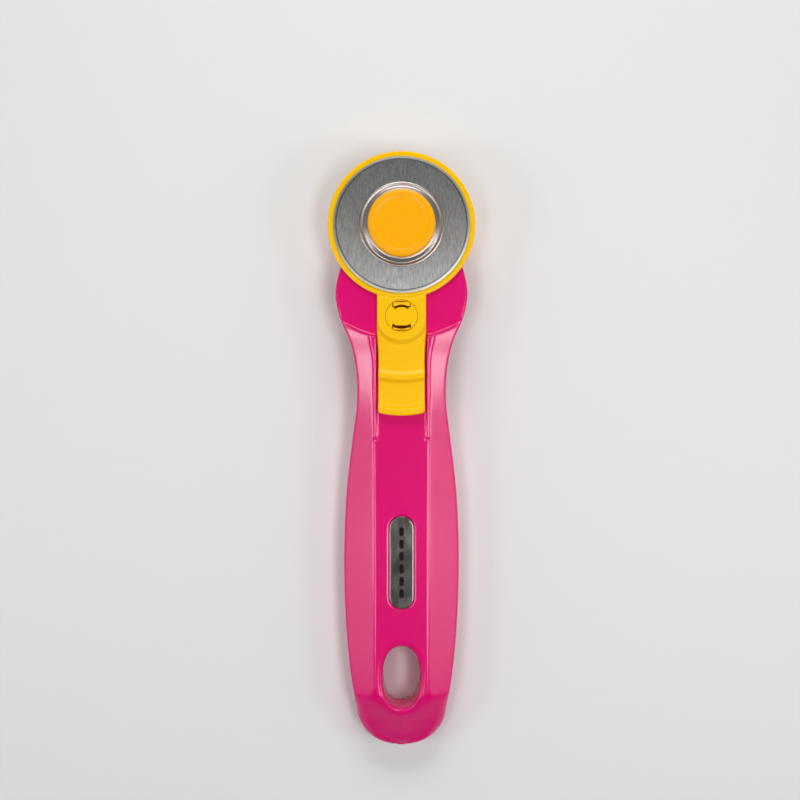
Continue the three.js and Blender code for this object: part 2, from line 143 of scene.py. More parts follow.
# The plug's bowed slits: y of the middle, radius of the bow, half length, half width
SLITS = [(3.3, 3.8, 2.3, 0.36), (-3.85, 5.7, 3.0, 0.38)]
SLIT_DEPTH = 2.4
TAB_DEPTH = 0.9

# Parts on the axle
BLADE_R = 22.5
BLADE_BORE_R = 4.02
BEVEL = 1.15
SHOULDER_R = 3.95
THREAD_R = 3.0
THREAD_PITCH = 1.0
FLANGE_R = 8.0
SLEEVE_R = 5.2
RING_R = 14.0
RING_BORE_R = 4.05
CAP_R = 11.1
BOLT_HEAD_R = 8.9
BOLT_HEAD_UNDER = CAP_BACK - 0.05
BOLT_HEAD_TOP = CAP_BACK + 0.95
BOLT_TIP = 2.4
WASHER_HALF = 0.17
WASHER_WAVE = 0.26
KNOB_R = 10.4
KNOB_RIBS = 24
KNOB_FLOOR = 1.9
INSERT_R = 5.0
INSERT_LOW = 2.0
INSERT_TOP = 8.4

# Screws: x, y, level of the head's seat, level of the tip, turn of the recess in degrees
SCREWS = [
    (-14.5, -27.0, 12.0, 15.3, 12), (14.5, -27.0, 12.0, 15.3, 50), (0.0, -76.0, 3.0, 14.0, 31),
    (0.0, -103.0, 3.0, 14.2, 74), (0.0, -131.5, 3.0, 14.2, 5),
]
SCREW_HEAD_R = 2.7
SCREW_HEAD_HEIGHT = 1.7
SCREW_PILOT_R = 1.34
SCREW_CREST_R = 1.25
SCREW_ROOT_R = 0.95
SCREW_PITCH = 0.7
SCREW_STEP = 0.09

# Colours that are used more than once
YELLOW_PAINT = (0.98, 0.55, 0.001)
PALE = (0.97, 0.98, 1.0)

# Brightness of the surroundings at the horizon
HORIZON = 0.75

FINE = 1.0


# ---------------------------------------------------------------- fields


def step01(t):
    t = np.clip(t, 0.0, 1.0)
    return t * t * (3 - 2 * t)


def after(y, change):
    """Rises smoothly from 0 to 1 as y falls past a change, given as (start, length)."""
    start, length = change
    return step01((start - y) / length)


def smooth_max(a, b, k):
    """The larger of two fields, with the edge between them rounded over about k."""
    h = np.maximum(k - np.abs(a - b), 0.0) / k
    return np.maximum(a, b) + h * h * k * 0.25


def smooth_min(a, b, k):
    return -smooth_max(-a, -b, k)


def carve(body, tool, k):
    return smooth_max(body, -tool, k)


def curve_through(knots):
    """A smooth curve through (y, value) knots given in order of falling y."""
    ys = np.array([k[0] for k in knots][::-1], float)
    vs = np.array([k[1] for k in knots][::-1], float)
    slopes = np.gradient(vs, ys)

    def read(y):
        y = np.clip(y, ys[0], ys[-1])
        i = np.clip(np.searchsorted(ys, y) - 1, 0, len(ys) - 2)
        width = ys[i + 1] - ys[i]
        t = (y - ys[i]) / width
        a = (1 + 2 * t) * (1 - t) ** 2 * vs[i] + t * t * (3 - 2 * t) * vs[i + 1]
        b = t * (1 - t) ** 2 * slopes[i] - t * t * (1 - t) * slopes[i + 1]
        return a + b * width

    return read


body_half = curve_through(BODY_HALF)
rail_half = curve_through(RAIL_HALF)
side_slope = curve_through(SIDE_SLOPE)


def oval_distance(x, y, half_x, half_y, power):
    """About the distance to an oval in the plane; negative inside."""
    u = np.abs(x / half_x) + 1e-6
    v = np.abs(y / half_y) + 1e-6
    rho = (u**power + v**power) ** (1 / power)
    slope_x = (u / rho) ** (power - 1) / half_x
    slope_y = (v / rho) ** (power - 1) / half_y
    return (rho - 1) / np.sqrt(slope_x**2 + slope_y**2)


def slot_distance(x, y, half, y0, y1):
    """Distance to a round-ended slot along Y."""
    return np.hypot(x, y - np.clip(y, y0, y1)) - half


def box_distance(parts, radius=0.0):
    """Distance to a rounded box from its signed distances along each axis."""
    parts = [p + radius for p in parts]
    outside = np.sqrt(sum(np.maximum(p, 0.0) ** 2 for p in parts))
    inside = parts[0]
    for p in parts[1:]:
        inside = np.maximum(inside, p)
    return outside + np.minimum(inside, 0.0) - radius


def between(z, low, high):
    return np.maximum(low - z, z - high)


def spaced(low, high, step, zones):
    """Coordinates from low to high, closer together inside the zones (from, to, share of step)."""
    places = [low]
    while places[-1] < high:
        here = places[-1]
        share = min([z[2] for z in zones if z[0] <= here < z[1]] or [1.0])
        places.append(here + step * share)
    return np.array(places)


class Grid:
    """Open coordinate arrays over a box, in millimetres. X zones are mirrored."""

    def __init__(self, low, high, step, x_zones=(), y_zones=()):
        step = step / FINE
        self.step = step
        margin = 2 * step
        if x_zones:
            half = spaced(0.0, high[0] + margin, step, x_zones)
            xs = np.concatenate([-half[:0:-1], half])
        else:
            xs = spaced(low[0] - margin, high[0] + margin, step, ())
        ys = spaced(low[1] - margin, high[1] + margin, step, y_zones)
        zs = spaced(low[2] - margin, high[2] + margin, step, ())
        self.axes = (xs, ys, zs)
        self.x = xs[:, None, None]
        self.y = ys[None, :, None]
        self.z = zs[None, None, :]

    def place(self, spot):
        """Millimetres from positions counted in cells."""
        return np.stack([np.interp(spot[:, i], np.arange(len(a)), a) for i, a in enumerate(self.axes)], 1)


def true_distance(field, grid):
    """Divides a field by its own slope, so that it reads in millimetres near the surface."""
    parts = np.gradient(field, *grid.axes)
    return field / np.maximum(np.sqrt(sum(p * p for p in parts)), 0.2)


def surface_net(field, grid):
    """Vertices, quads and normals of the field's zero surface."""
    field = np.ascontiguousarray(field, dtype=np.float32)
    inside = field < 0
    cells = tuple(n - 1 for n in field.shape)
    total = np.zeros(cells, np.int8)
    for dx, dy, dz in itertools.product((0, 1), repeat=3):
        total += inside[dx : dx + cells[0], dy : dy + cells[1], dz : dz + cells[2]]
    active = (total > 0) & (total < 8)
    number = np.full(cells, -1, np.int64)
    where = np.argwhere(active)
    number[active] = np.arange(len(where))
    spot = np.zeros((len(where), 3))
    hits = np.zeros(len(where))
    corners = list(itertools.product((0, 1), repeat=3))
    for a, b in itertools.combinations(corners, 2):
        if sum(abs(p - q) for p, q in zip(a, b)) != 1:
            continue
        fa = field[tuple((where + a).T)]
        fb = field[tuple((where + b).T)]
        crossing = (fa < 0) != (fb < 0)
        t = np.where(crossing, fa / np.where(crossing, fa - fb, 1.0), 0.0)
        point = np.array(a) + t[:, None] * (np.array(b) - np.array(a))
        spot += np.where(crossing[:, None], point, 0.0)
        hits += crossing
    spot = where + spot / hits[:, None]
    quads = [net_quads(inside, number, axis) for axis in range(3)]
    normals = field_normals(field, spot, grid)
    return grid.place(spot), np.concatenate(quads), normals


def net_quads(inside, number, axis):
    """One quad round every grid edge along an axis where the field changes sign."""
    ahead = np.roll(inside, -1, axis)
    changed = inside != ahead
    edges = np.argwhere(changed)
    limit = np.array(inside.shape)
    u, v = [k for k in range(3) if k != axis]
    keep = (edges[:, axis] < limit[axis] - 1) & (edges[:, u] > 0) & (edges[:, v] > 0)
    keep &= (edges[:, u] < limit[u] - 1) & (edges[:, v] < limit[v] - 1)
    edges = edges[keep]
    shift = np.zeros((4, 3), int)
    shift[1, u] = shift[2, u] = -1
    shift[2, v] = shift[3, v] = -1
    ring = np.stack([number[tuple((edges + s).T)] for s in shift], axis=1)
    outward = inside[tuple(edges.T)]
    flip = outward if axis != 1 else ~outward
    ring[~flip] = ring[~flip][:, ::-1]
    return ring


def field_normals(field, spot, grid):
    """The field's slope direction at each point, read between the grid's values."""
    low = np.clip(spot.astype(int), 1, np.array(field.shape) - 3)
    part = np.clip(spot - low, 0, 1)
    normal = np.zeros_like(spot)
    for corner in itertools.product((0, 1), repeat=3):
        at = low + corner
        share = np.prod(np.where(corner, part, 1 - part), axis=1)
        for axis in range(3):
            one = np.zeros(3, int)
            one[axis] = 1
            rise = field[tuple((at + one).T)] - field[tuple((at - one).T)]
            places = grid.axes[axis]
            normal[:, axis] += share * rise / (places[at[:, axis] + 1] - places[at[:, axis] - 1])
    return normal / np.maximum(np.linalg.norm(normal, axis=1)[:, None], 1e-9)


# ---------------------------------------------------------------- meshes


def add_piece(name, vertices, faces, material, body, node, normals=None):
    mesh = bpy.data.meshes.new(name)
    mesh.from_pydata((np.asarray(vertices) * MM).tolist(), [], [list(map(int, f)) for f in faces])
    mesh.validate()
    mesh.materials.append(material)
    mesh.polygons.foreach_set("use_smooth", [True] * len(mesh.polygons))
    if normals is not None and len(mesh.vertices) == len(normals):
        mesh.normals_split_custom_set_from_vertices(normals.tolist())
    piece = bpy.data.objects.new(name, mesh)
    bpy.context.scene.collection.objects.link(piece)
    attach(piece, body)
    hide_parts(node)
    return piece


def add_moulded(name, field, grid, material, body, node):
    vertices, quads, normals = surface_net(field, grid)
    return add_piece(name, vertices, quads, material, body, node, normals)


def sharpen(mesh, angle_deg):
    """Marks every edge sharper than an angle, so that shading breaks there."""
    work = bmesh.new()
    work.from_mesh(mesh)
    for edge in work.edges:
        if len(edge.link_faces) == 2 and edge.calc_face_angle(0.0) > math.radians(angle_deg):
            edge.smooth = False
    work.to_mesh(mesh)
    work.free()


def refine(profile, spacing):
    """Adds points along each straight run of a profile, at most a spacing apart."""
    points = [profile[0]]
    for a, b in zip(profile, profile[1:]):
        count = max(1, int(math.ceil(math.dist(a, b) / spacing)))
        for i in range(1, count + 1):
            t = i / count
            points.append((a[0] + (b[0] - a[0]) * t, a[1] + (b[1] - a[1]) * t))
    return points


def round_corners(profile, radius, steps=4):
    """Rounds the inner corners of an open profile of (r, z) points."""
    points = [profile[0]]
    for a, b, c in zip(profile, profile[1:], profile[2:]):
        a, b, c = np.array(a), np.array(b), np.array(c)
        back = min(radius, np.linalg.norm(a - b) * 0.45)
        ahead = min(radius, np.linalg.norm(c - b) * 0.45)
        start = b + (a - b) / np.linalg.norm(a - b) * back
        end = b + (c - b) / np.linalg.norm(c - b) * ahead
        for i in range(steps + 1):
            t = i / steps
            points.append(tuple((1 - t) ** 2 * start + 2 * t * (1 - t) * b + t * t * end))
    points.append(profile[-1])
    return points


def turn(profile, segments, shape=None):
    """Vertices and faces of a profile swung about Z. The profile runs from the underside, outwards
    and up, and back. It ends on the axis or closes on its first point. shape may move the points."""
    closed = math.dist(profile[0], profile[-1]) < 1e-6
    if closed:
        profile = profile[:-1]
    count = len(profile)
    angle = np.arange(segments) * 2 * math.pi / segments
    r = np.array([p[0] for p in profile])[:, None] * np.ones(segments)
    z = np.array([p[1] for p in profile])[:, None] * np.ones(segments)
    if shape:
        r, z = shape(r, z, angle[None, :] * np.ones((count, 1)))
    vertices = np.stack([r * np.cos(angle), r * np.sin(angle), z], axis=2)
    index = np.arange(count * segments).reshape(count, segments)
    vertices = list(vertices.reshape(-1, 3))
    faces = []
    rows = count if closed else count - 1
    for i in range(rows):
        j = (i + 1) % count
        for k in range(segments):
            m = (k + 1) % segments
            faces.append([index[i][k], index[i][m], index[j][m], index[j][k]])
    if not closed:
        faces = cap_ends(vertices, faces, index, profile)
    return np.array(vertices), faces


def cap_ends(vertices, faces, index, profile):
    """Replaces the ring at each end of the profile, which lies on the axis, with one point."""
    first, last = index[0][0], index[-1][0]
    low, high = set(index[0]), set(index[-1])
    vertices[first] = np.array([0.0, 0.0, profile[0][1]])
    vertices[last] = np.array([0.0, 0.0, profile[-1][1]])
    made = []
    for face in faces:
        face = [first if v in low else last if v in high else v for v in face]
        face = [v for i, v in enumerate(face) if v != face[i - 1]]
        if len(face) > 2:
            made.append(face)
    used = sorted({v for face in made for v in face})
    new = {v: i for i, v in enumerate(used)}
    vertices[:] = [vertices[v] for v in used]
    return [[new[v] for v in face] for face in made]


def add_turned(name, profile, segments, material, body, node, sharp=None, shape=None):
    vertices, faces = turn(profile, segments, shape)
    piece = add_piece(name, vertices, faces, material, body, node, None)
    if sharp:
        sharpen(piece.data, sharp)
    return piece


# ---------------------------------------------------------------- materials


class Look:
    """A Principled material with helpers for procedural detail in object coordinates."""

    def __init__(self, name, colour, roughness, metallic=0.0, specular=0.5):
        self.material = bpy.data.materials.new(name)
        self.material.use_nodes = True
        self.tree = self.material.node_tree
        self.shader = self.tree.nodes["Principled BSDF"]
        self.shader.inputs["Base Color"].default_value = (*colour, 1.0)
        self.shader.inputs["Roughness"].default_value = roughness
        self.shader.inputs["Metallic"].default_value = metallic
        self.shader.inputs["Specular IOR Level"].default_value = specular
        self.place = self.tree.nodes.new("ShaderNodeTexCoord").outputs["Object"]

    def node(self, kind, **inputs):
        made = self.tree.nodes.new(kind)
        for key, value in inputs.items():
            key = key.replace("_", " ")
            if hasattr(value, "links"):
                self.tree.links.new(value, made.inputs[key])
            else:
                made.inputs[key].default_value = value
        return made

    def math(self, operation, a, b=0.0, c=0.0):
        made = self.tree.nodes.new("ShaderNodeMath")
        made.operation = operation
        for socket, value in zip(made.inputs, (a, b, c)):
            if hasattr(value, "links"):
                self.tree.links.new(value, socket)
            else:
                socket.default_value = value
        return made.outputs[0]

    def scaled(self, scale, place=None):
        made = self.tree.nodes.new("ShaderNodeMapping")
        made.inputs["Scale"].default_value = scale
        self.tree.links.new(place or self.place, made.inputs["Vector"])
        return made.outputs[0]

    def noise(self, scale, detail=3.0, place=None):
        made = self.node("ShaderNodeTexNoise", Scale=scale, Detail=detail)
        self.tree.links.new(place or self.place, made.inputs["Vector"])
        return made.outputs["Fac"]

    def spread(self, value, low, high):
        """Moves a noise value, which mostly lies between 0.3 and 0.7, into a range."""
        made = self.tree.nodes.new("ShaderNodeMapRange")
        self.tree.links.new(value, made.inputs["Value"])
        made.inputs["From Min"].default_value = 0.3
        made.inputs["From Max"].default_value = 0.7
        made.inputs["To Min"].default_value = low
        made.inputs["To Max"].default_value = high
        return made.outputs[0]

    def ramp(self, value, low, high):
        """Rises smoothly from 0 at low to 1 at high."""
        made = self.node("ShaderNodeMapRange", Value=value, From_Min=low, From_Max=high)
        made.interpolation_type = "SMOOTHSTEP"
        return made.outputs[0]

    def mix(self, share, first, second):
        made = self.tree.nodes.new("ShaderNodeMix")
        made.data_type = "RGBA"
        self.tree.links.new(share, made.inputs["Factor"])
        made.inputs[6].default_value = (*first, 1.0)
        made.inputs[7].default_value = (*second, 1.0)
        return made.outputs[2]

    def bump(self, height, strength, distance):
        made = self.tree.nodes.new("ShaderNodeBump")
        made.inputs["Strength"].default_value = strength
        made.inputs["Distance"].default_value = distance
        self.tree.links.new(height, made.inputs["Height"])
        self.tree.links.new(made.outputs[0], self.shader.inputs["Normal"])

    def link(self, value, name):
        self.tree.links.new(value, self.shader.inputs[name])

    def polar(self):
        """Distance from the axle and angle round it."""
        split = self.tree.nodes.new("ShaderNodeSeparateXYZ")
        self.tree.links.new(self.place, split.inputs[0])
        x, y = split.outputs["X"], split.outputs["Y"]
        squares = self.math("ADD", self.math("MULTIPLY", x, x), self.math("MULTIPLY", y, y))
        return self.math("SQRT", squares), self.math("ARCTAN2", y, x)

    def vector(self, x, y, z=0.0):
        made = self.tree.nodes.new("ShaderNodeCombineXYZ")
        for socket, value in zip(made.inputs, (x, y, z)):
            if hasattr(value, "links"):
                self.tree.links.new(value, socket)
            else:
                socket.default_value = value
        return made.outputs[0]


def plastic(name, colour, darker, roughness, specular):
    """Moulded plastic: a touch of colour drift, faint orange peel and fine handling marks."""
    look = Look(name, colour, roughness, specular=specular)
    drift = look.spread(look.noise(35.0), 0.0, 1.0)
    look.link(look.mix(drift, darker, colour), "Base Color")
    marks = look.noise(900.0, 4.0)
    look.link(look.spread(marks, roughness - 0.02, roughness + 0.03), "Roughness")
    look.bump(look.noise(1400.0, 1.0), 0.03, 0.0001)
    return look.material


def brushed_blade():
    """Steel ground across the face: fine straight scratches under a slight haze."""
    look = Look("blade_steel", (0.68, 0.68, 0.67), 0.36, metallic=1.0)
    scratches = look.noise(1.0, 6.0, look.scaled((5200.0, 420.0, 400.0)))
    grain = look.noise(1.0, 3.0, look.scaled((1500.0, 900.0, 400.0)))
    both = look.math("ADD", look.math("MULTIPLY", scratches, 0.7), look.math("MULTIPLY", grain, 0.3))
    tone = look.mix(look.spread(both, 0.0, 1.0), (0.44, 0.44, 0.43), (0.92, 0.92, 0.91))
    look.link(tone, "Base Color")
    look.link(look.spread(scratches, 0.33, 0.41), "Roughness")
    look.bump(both, 0.2, 0.00003)
    look.shader.inputs["Anisotropic"].default_value = 0.75
    across = look.tree.nodes.new("ShaderNodeTangent")
    across.direction_type = "RADIAL"
    across.axis = "Y"
    look.link(across.outputs[0], "Tangent")
    return look.material


def ground_edge():
    """The blade's bevel, ground round and round, with painted shade at its inner border and a painted
    highlight towards the rim.
    """
    look = Look("blade_edge", (0.34, 0.34, 0.32), 0.38, metallic=1.0)
    radius, angle = look.polar()
    # Painted shade and highlight: the base colour darkens at the bevel's inner border and brightens towards
    # the rim
    rim = look.ramp(radius, (BLADE_R - BEVEL + 0.15) * MM, (BLADE_R - 0.35) * MM)
    look.link(look.mix(rim, (0.10, 0.10, 0.09), (0.42, 0.42, 0.39)), "Base Color")
    rings = look.noise(1.0, 3.0, look.vector(look.math("MULTIPLY", radius, 22000.0), angle))
    look.link(look.spread(rings, 0.32, 0.44), "Roughness")
    look.bump(rings, 0.15, 0.00004)
    return look.material


def turned_metal(name, colour, roughness, rings=9000.0, strength=0.2):
    """Turned or pressed metal with fine rings about the axle."""
    look = Look(name, colour, roughness, metallic=1.0)
    radius, angle = look.polar()
    place = look.vector(look.math("MULTIPLY", radius, rings), look.math("MULTIPLY", angle, 0.6))
    marks = look.noise(1.0, 3.0, place)
    look.link(look.spread(marks, roughness * 0.75, roughness * 1.3), "Roughness")
    look.bump(marks, strength, 0.00004)
    return look.material


def plated(name, colour, roughness):
    """Plated metal with slight unevenness and small scuffs."""
    look = Look(name, colour, roughness, metallic=1.0)
    look.link(look.spread(look.noise(700.0, 4.0), roughness * 0.7, roughness * 1.4), "Roughness")
    look.bump(look.noise(260.0, 2.0), 0.10, 0.0004)
    return look.material


def badge_chrome():
    """Dark bright-plated sheet with broad, soft unevenness."""
    look = Look("badge_chrome", (0.27, 0.25, 0.235), 0.19, metallic=1.0)
    patches = look.noise(1.0, 1.0, look.scaled((420.0, 160.0, 200.0)))
    look.link(look.spread(patches, 0.16, 0.23), "Roughness")
    look.bump(look.noise(200.0, 1.0), 0.10, 0.0003)
    return look.material


def button_plastic():
    """The guard's plastic, dark with shade inside the plug's slits."""
    look = Look("button_plastic", YELLOW_PAINT, 0.26, specular=0.2)
    split = look.tree.nodes.new("ShaderNodeSeparateXYZ")
    look.tree.links.new(look.place, split.inputs[0])
    from_axis = look.math("SUBTRACT", split.outputs["Y"], PLUG_Y * MM)
    across = split.outputs["X"]
    squares = look.math("MULTIPLY_ADD", across, across, look.math("MULTIPLY", from_axis, from_axis))
    inner = look.ramp(look.math("SQRT", squares), (PLUG_R - 0.25) * MM, (PLUG_R - 0.35) * MM)
    depth = look.ramp(split.outputs["Z"], (PAD_TOP - 0.3) * MM, (PAD_TOP - 0.8) * MM)
    above = look.ramp(split.outputs["Z"], (GUARD_BACK - 0.2) * MM, (GUARD_BACK + 0.2) * MM)
    shade = look.math("MULTIPLY", look.math("MULTIPLY", inner, depth), above)
    look.link(look.mix(shade, YELLOW_PAINT, (0.22, 0.035, 0.0)), "Base Color")
    return look.material


PINK = plastic("pink_plastic", (0.76, 0.003, 0.165), (0.72, 0.003, 0.155), 0.16, 0.5)
YELLOW = plastic("yellow_plastic", YELLOW_PAINT, (0.96, 0.53, 0.001), 0.26, 0.2)
ORANGE = plastic("orange_plastic", (0.98, 0.43, 0.001), (0.96, 0.41, 0.001), 0.28, 0.2)
BUTTON = button_plastic()
BLADE_FACE = brushed_blade()
BLADE_EDGE = ground_edge()
RING_STEEL = turned_metal("polished_ring", (0.42, 0.38, 0.36), 0.32)
SCREW_STEEL = plated("zinc_plate", (0.60, 0.60, 0.59), 0.30)
SPRING_STEEL = turned_metal("spring_steel", (0.45, 0.45, 0.45), 0.32)
BOLT_STEEL = turned_metal("bolt_steel", (0.55, 0.55, 0.54), 0.28, 6000.0)
BRASS = turned_metal("turned_brass", (0.72, 0.48, 0.18), 0.28, 6000.0)
CHROME = badge_chrome()
BADGE_INK = Look("badge_ink", (0.01, 0.01, 0.01), 0.8, specular=0.1).material


# ---------------------------------------------------------------- handle


def front_level(y):
    """The rails' sloping top, then the level grip, then the tail falling away."""
    rail = RAIL_TOP + (HEAD_FRONT - RAIL_TOP) * (RAIL_START - y) / (RAIL_START - CHANNEL_END)
    past = np.maximum(0, TAIL_BEND - y)
    grip = GRIP_FRONT - TAIL_FALL * past * past / (past + 3)
    return np.where(y > CHANNEL_END, np.minimum(RAIL_LIMIT, rail), grip)


def handle_field(grid):
    """The long body: a flat band, sloping sides, a wall at the outer edge and a rounded back."""
    along = np.clip((TAIL_START - grid.y) / TAIL_LENGTH, 0, TAIL_STOP)
    cosine = np.sqrt(1 - along * along)
    shrink, thin = cosine ** (2 / TAIL_POWER), cosine**TAIL_THINNING
    y = np.maximum(grid.y, TAIL_START)
    share = step01((y - RAMP_START) / (RAMP_END - RAMP_START))
    seam = GRIP_SEAM + share * (HEAD_SEAM - GRIP_SEAM)
    half = body_half(y)
    front = front_level(np.maximum(grid.y, TAIL_START - TAIL_LENGTH))
    x = np.abs(grid.x) / shrink
    z = seam + (grid.z - seam) / thin
    band = z - front + 0 * x
    slope = side_slope(y) * (1 - TAIL_FLATNESS * after(grid.y, TAIL_FLATTENS))
    side = (z - front + slope * (x - rail_half(y))) / np.sqrt(1 + slope**2)
    level = z - HEAD_FRONT - 0.1 + 6 * after(y, EARS_END)
    tail = after(grid.y, TAIL_SOFTENS)
    top = smooth_max(band, np.minimum(side, level), BAND_ROUND + BAND_ROUND_TAIL * tail)
    back_flat = BACK_FLAT + share * (half - 3 - BACK_FLAT)
    deep = seam - share * HEAD_BACK
    out = np.maximum(x - back_flat, 0)
    wall = oval_distance(out, np.minimum(z - seam, 0), half - back_flat, deep, WALL_POWER)
    body = smooth_max(top, wall, WALL_ROUND + WALL_ROUND_TAIL * tail) * np.minimum(shrink, thin)
    end = TAIL_START - TAIL_LENGTH * TAIL_STOP
    body = body + np.maximum(0.0, end - grid.y)
    return true_distance(body.astype(np.float32), grid).astype(np.float32)


def head_plate(grid):
    """The flat head: the ears' outline and the round nose, with a rounded back edge."""
    probe = 0.2
    y = np.clip(grid.y, -40, NOSE_R)
    slope = (body_half(y + probe) - body_half(y - probe)) / (2 * probe)
    sides = (np.abs(grid.x) - body_half(y)) / np.sqrt(1 + slope**2)
    ears = np.maximum(sides, grid.y - EAR_TOP)
    nose = np.hypot(grid.x, grid.y) - NOSE_R
    outline = smooth_min(ears, nose, EAR_BLEND)
    levels = between(grid.z, HEAD_BACK, 20.0)
    return box_distance([outline + 0 * grid.z, levels + 0 * outline], HEAD_ROUND)


def badge_outline(x, y, margin=0.0):
    """Distance to the badge's round-ended outline, widened by a margin."""
    straight = (BADGE["length"] - BADGE["width"]) / 2
    return slot_distance(x, y, BADGE["width"] / 2 + margin, BADGE["y"] - straight, BADGE["y"] + straight)


def cut_channel(body, grid):
    """The channel that the guard's strip slides in, with a small catch at each side of its end."""
    x, y, z = grid.x, grid.y, grid.z
    ending = after(y, CHANNEL_SHALLOW)
    channel = smooth_max(np.abs(x) - CHANNEL_HALF, HEAD_FRONT + 0.05 * ending - z, 0.5)
    channel = np.maximum(channel, between(y, CHANNEL_END, CHANNEL_START))
    body = carve(body, channel, 0.35 - 0.27 * ending)
    catch_x = np.abs(np.abs(x) - CHANNEL_HALF - 0.4) - 0.5
    catch_y = np.abs(y - CHANNEL_END) - 0.35
    catch_z = np.abs(z - HEAD_FRONT - 0.2) - 0.6
    return carve(body, box_distance([catch_x, catch_y, catch_z], 0.2), 0.3)


def cut_screw_holes(body, grid):
    """A counterbore from the back for each screw's head, and a plain pilot hole for its shank."""
    for x, y, seat, tip, _ in SCREWS:
        across = np.hypot(grid.x - x, grid.y - y)
        body = carve(body, np.maximum(across - SCREW_HEAD_R - 0.2, grid.z - seat), 0.4)
        body = np.maximum(body, -np.maximum(across - SCREW_PILOT_R, grid.z - tip - 0.3))
    return body


def handle_features(body, grid):
    """Everything cut into the moulded body."""
    x, y, z = grid.x, grid.y, grid.z
    head = smooth_max(HEAD_FRONT - z, np.hypot(x, y) - STEP_R, 1.4)
    body = cut_channel(carve(body, head, 0.4), grid)
    slot = slot_distance(x, y, NECK_HALF + 0.25, PLUG_Y - TRAVEL - NECK_REACH, PLUG_Y + NECK_REACH)
    body = carve(body, slot + 0 * z, 0.5)
    body = carve(body, np.hypot(x, y) - SLEEVE_R - 0.05 + 0 * z, 0.4)
    hole = oval_distance(x, y - HOLE["y"], HOLE["half_x"], HOLE["half_y"], HOLE["power"]) + 0 * z
    body = carve(body, hole, HOLE["rim"])
    pocket = badge_outline(x, y, 0.1)
    body = carve(body, np.maximum(pocket + 0 * z, BADGE["low"] - 0.03 - z), 0.3)
    return cut_screw_holes(body, grid)


def seam_level(y):
    share = np.clip((y - RAMP_START) / (RAMP_END - RAMP_START), 0, 1)
    return GRIP_SEAM + share * (HEAD_SEAM - GRIP_SEAM)


def add_handle():
    """The whole handle is one field; the seam parts it into two shells with a fine groove."""
    half, tail_end, nose_end = 22.2, -173.8, 14.2
    for name, low, high, side in (
        ("handle_front_shell", 8.4, 20.6, 1), ("handle_back_shell", 0.0, 13.6, -1),
    ):
        grid = Grid((-half, tail_end, low), (half, nose_end, high), HANDLE_STEP, EDGE_ZONE, STEP_ZONE)
        whole = handle_field(grid)
        share = step01((grid.y + 32) / 12)
        body = whole * (1 - share) + head_plate(grid) * share
        body = handle_features(body, grid)
        part = side * (seam_level(grid.y) - grid.z) + SEAM_GAP
        field = smooth_max(body, part + 0 * body, 0.35)
        add_moulded(name + "_look", field, grid, PINK, "handle", name)


# ---------------------------------------------------------------- badge and screws


def badge_field(grid):
    outline = badge_outline(grid.x, grid.y)
    levels = between(grid.z, BADGE["low"], BADGE["top"])
    return box_distance([outline + 0 * grid.z, levels + 0 * outline], 0.2)


def add_badge():
    """A bright plate with a rounded edge."""
    half_width, half_length, top = 4.1, BADGE["length"] / 2, 17.2
    low = (-half_width, BADGE["y"] - half_length, BADGE["low"])
    high = (half_width, BADGE["y"] + half_length, top)
    grid = Grid(low, high, 0.13)
    add_moulded("badge_plate_look", badge_field(grid), grid, CHROME, "handle", "badge_plate")


def stitch_vertices(y):
    """One raised stitch, a low rounded bar along Y: rings from its crown down to its foot."""
    radius = STITCH["width"] / 2
    straight = STITCH["length"] / 2 - radius
    made = []
    for reach, rise in [(0.0, 0.07), (0.6, 0.06), (1.0, 0.0), (1.0, -0.03)]:
        for k in range(STITCH["points"]):
            angle = k * 2 * math.pi / STITCH["points"]
            cosine, sine = math.cos(angle), math.sin(angle)
            across = reach * radius * cosine
            along = math.copysign(straight, sine) + reach * radius * sine
            made.append((across, y + along, BADGE["top"] + rise))
    return made


def add_stitches():
    """Dark enamel stitches along the badge, standing in for the maker's lettering."""
    vertices, faces = [], []
    count = STITCH["points"]
    for i in range(STITCH["count"]):
        start = len(vertices)
        middle = (STITCH["count"] - 1) / 2
        vertices += stitch_vertices(BADGE["y"] + (i - middle) * STITCH["spacing"])
        for row in range(3):
            for k in range(count):
                a, b = start + row * count + k, start + row * count + (k + 1) % count
                faces.append([a, a + count, b + count, b])
        faces.append([start + k for k in range(count)])
        faces.append([start + 3 * count + k for k in reversed(range(count))])
    piece = add_piece("badge_stitches", vertices, faces, BADGE_INK, "handle", "badge_plate", None)
    sharpen(piece.data, 40)


def screw_field(grid):
    """A pan head with a cross recess."""
    x, y, z = grid.x, grid.y, grid.z
    radius = np.hypot(x, y)
    levels = between(z, 0.0, SCREW_HEAD_HEIGHT)
    head = box_distance([radius - SCREW_HEAD_R + 0 * z, levels + 0 * radius], 0.55)
    floor = z - 1.0 + 0 * radius
    arms = [
        box_distance([np.abs(a) - 0.32 - 0.1 * z, np.abs(b) - 1.45 + 0.35 * z, floor], 0.05)
        for a, b in ((x, y), (y, x))
    ]
    return carve(head, np.minimum(arms[0], arms[1]), 0.12)


def screw_shank(length):
    """Profile of a threaded shank, from just inside the head to the tip."""
    profile = [(0, -0.3), (1.2, -0.3)]
    level = 0.0
    while level < length - 1.0:
        profile += [(SCREW_CREST_R, level + 0.1), (SCREW_ROOT_R, level + 0.35)]
        level += SCREW_PITCH
    return profile + [(0.9, length - 0.7), (0.2, length), (0, length)]


